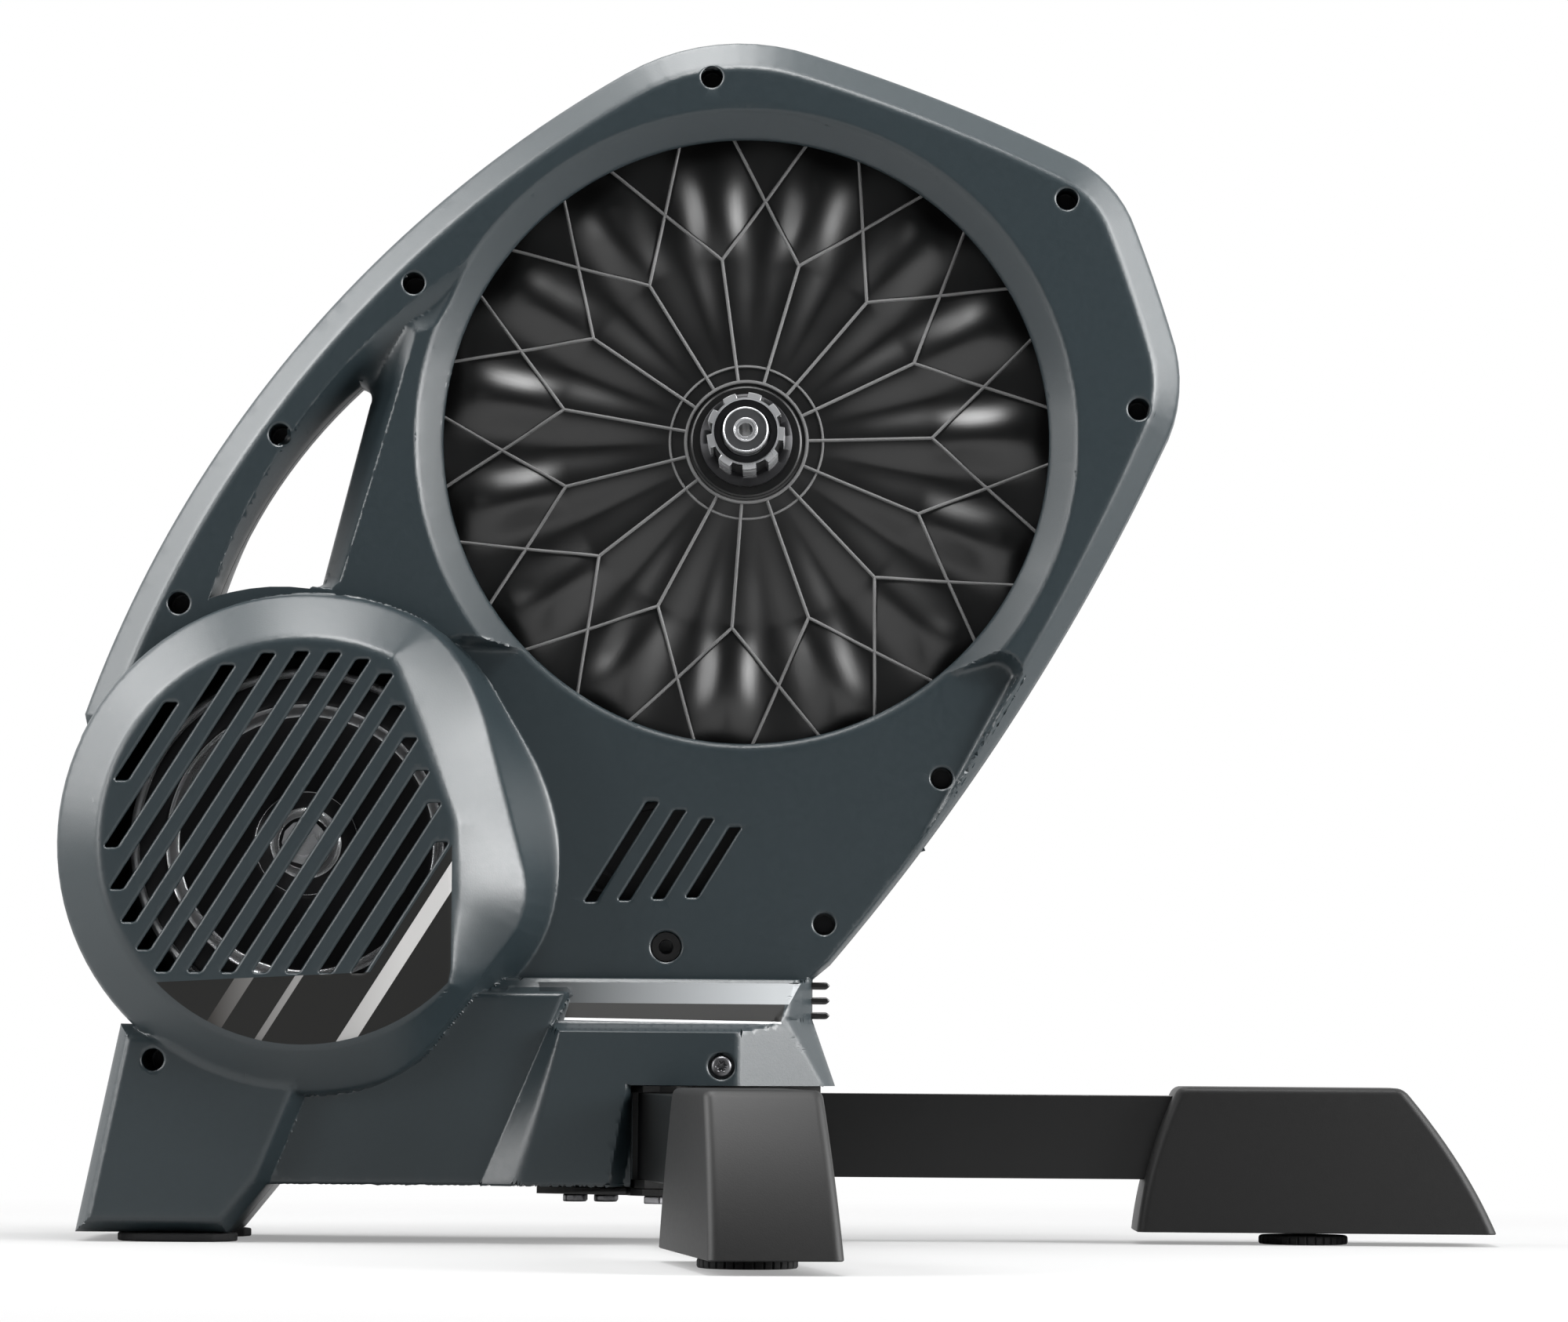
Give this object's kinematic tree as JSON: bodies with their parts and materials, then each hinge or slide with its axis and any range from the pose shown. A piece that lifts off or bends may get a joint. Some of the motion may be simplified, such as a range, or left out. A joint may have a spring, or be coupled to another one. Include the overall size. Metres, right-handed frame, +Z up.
{
  "type": "direct drive bike trainer",
  "caption": "Stand that takes the place of a bicycle's rear wheel, with a belt-driven magnetically braked flywheel, a sprocket freehub and folding legs.",
  "frame": {"origin": "middle of the whole trainer's footprint, on the floor, with the drive side's leg open and the left one folded forward", "axes": "+X to the front of the bicycle, -Y to its drive side, +Z up"},
  "size_m": [0.6528, 0.489, 0.5464],
  "materials": {
    "slate_plastic": "fine-grained satin",
    "foot_plastic": "fine-grained satin",
    "black_gloss_plastic": "semi-gloss moulded",
    "black_paint": "gloss powder coat",
    "frame_steel": "satin black paint",
    "bright_steel": "turned",
    "zinc_steel": "zinc plated",
    "black_steel": "black oxide",
    "rubber": "matt",
    "belt_rubber": "matt ribbed",
    "board_laminate": "solder mask"
  },
  "bodies": {
    "base": {"drive_side_cover": "slate_plastic", "left_side_cover": "slate_plastic", "front_louvre": "black_gloss_plastic", "pivot_bush_drive": "black_gloss_plastic", "pivot_bush_left": "black_gloss_plastic", "power_jack": "black_gloss_plastic", "main_frame": "frame_steel", "shaft_bridge": "frame_steel", "tensioner_arm": "frame_steel", "base_beam": "black_paint", "leg_bracket": "black_paint", "axle": "bright_steel", "drive_end_cap": "bright_steel", "left_end_cap": "bright_steel", "shaft_bearing_drive": "bright_steel", "shaft_bearing_left": "bright_steel", "tensioner_bolt": "bright_steel", "brake_motor": "bright_steel", "pivot_bolt_drive": "zinc_steel", "pivot_bolt_left": "zinc_steel", "pivot_nut_drive": "zinc_steel", "pivot_nut_left": "zinc_steel", "bracket_bolt_front_drive": "zinc_steel", "bracket_bolt_front_left": "zinc_steel", "bracket_bolt_rear_drive": "zinc_steel", "bracket_bolt_rear_left": "zinc_steel", "cover_screw_top": "black_steel", "cover_screw_front_upper": "black_steel", "cover_screw_front_middle": "black_steel", "cover_screw_front_lower": "black_steel", "cover_screw_throat": "black_steel", "cover_screw_rear_upper": "black_steel", "cover_screw_rear_middle": "black_steel", "cover_screw_rear_lower": "black_steel", "cover_screw_foot": "black_steel", "base_screw": "black_steel", "rear_pad_drive": "rubber", "rear_pad_left": "rubber", "drive_belt": "belt_rubber", "circuit_board": "board_laminate"},
    "flywheel": {"flywheel": "bright_steel", "flywheel_shaft": "bright_steel"},
    "pulley": {"driven_pulley": "black_gloss_plastic", "hub_bearing_drive": "bright_steel", "hub_bearing_left": "bright_steel"},
    "freehub": {"freehub_body": "bright_steel", "freehub_bearing": "bright_steel"},
    "idler": {"tensioner_idler": "bright_steel"},
    "magnet_carrier": {"magnet_carrier": "frame_steel", "brake_magnet_1": "bright_steel", "brake_magnet_2": "bright_steel", "brake_magnet_3": "bright_steel", "brake_magnet_4": "bright_steel"},
    "brake_screw": {"brake_screw": "bright_steel"},
    "drive_leg": {"leg_tube_drive": "black_paint", "leg_foot_drive": "foot_plastic"},
    "drive_leg_pad": {"leg_pad_drive": "rubber"},
    "left_leg": {"leg_tube_left": "black_paint", "leg_foot_left": "foot_plastic"},
    "left_leg_pad": {"leg_pad_left": "rubber"}
  },
  "joints": [
    {"name": "flywheel_spin", "type": "hinge", "parent": "base", "child": "flywheel", "pos_m": [-0.21435, 0.1773, 0.178], "axis": [0, 1, 0], "continuous": true},
    {"name": "pulley_spin", "type": "hinge", "parent": "base", "child": "pulley", "pos_m": [-0.01935, 0.1773, 0.363], "axis": [0, 1, 0], "continuous": true},
    {"name": "idler_spin", "type": "hinge", "parent": "base", "child": "idler", "pos_m": [-0.10769, 0.1773, 0.17144], "axis": [0, 1, 0], "continuous": true},
    {"name": "freehub_spin", "type": "hinge", "parent": "base", "child": "freehub", "pos_m": [-0.01935, 0.1773, 0.363], "axis": [0, 1, 0], "continuous": true},
    {"name": "magnet_carrier_slide", "type": "slide", "parent": "base", "child": "magnet_carrier", "axis": [0, 1, 0], "range_m": [0, 0.006]},
    {"name": "brake_screw_turn", "type": "hinge", "parent": "base", "child": "brake_screw", "pos_m": [-0.26631, 0.1773, 0.208], "axis": [0, 1, 0], "range_deg": [-2, 1082]},
    {"name": "drive_leg_fold", "type": "hinge", "parent": "base", "child": "drive_leg", "pos_m": [-0.05535, 0.1373, 0.0485], "axis": [0, 0, 1], "range_deg": [0, 82]},
    {"name": "left_leg_fold", "type": "hinge", "parent": "base", "child": "left_leg", "pos_m": [-0.05535, 0.2173, 0.0485], "axis": [0, 0, 1], "range_deg": [0, 82]},
    {"name": "drive_pad_turn", "type": "hinge", "parent": "drive_leg", "child": "drive_leg_pad", "pos_m": [-0.01429, -0.15483, 0.002], "axis": [0, 0, 1], "range_deg": [-360, 360]},
    {"name": "left_pad_turn", "type": "hinge", "parent": "left_leg", "child": "left_leg_pad", "pos_m": [0.23965, 0.2173, 0.002], "axis": [0, 0, 1], "range_deg": [-360, 360]}
  ],
  "couplings": [
    {"joint": "pulley_spin", "follows": "flywheel_spin", "ratio": 0.1},
    {"joint": "idler_spin", "follows": "flywheel_spin", "ratio": -1.1538},
    {"joint": "brake_screw_turn", "follows": "magnet_carrier_slide", "rad_per_m": 3141.6}
  ]
}
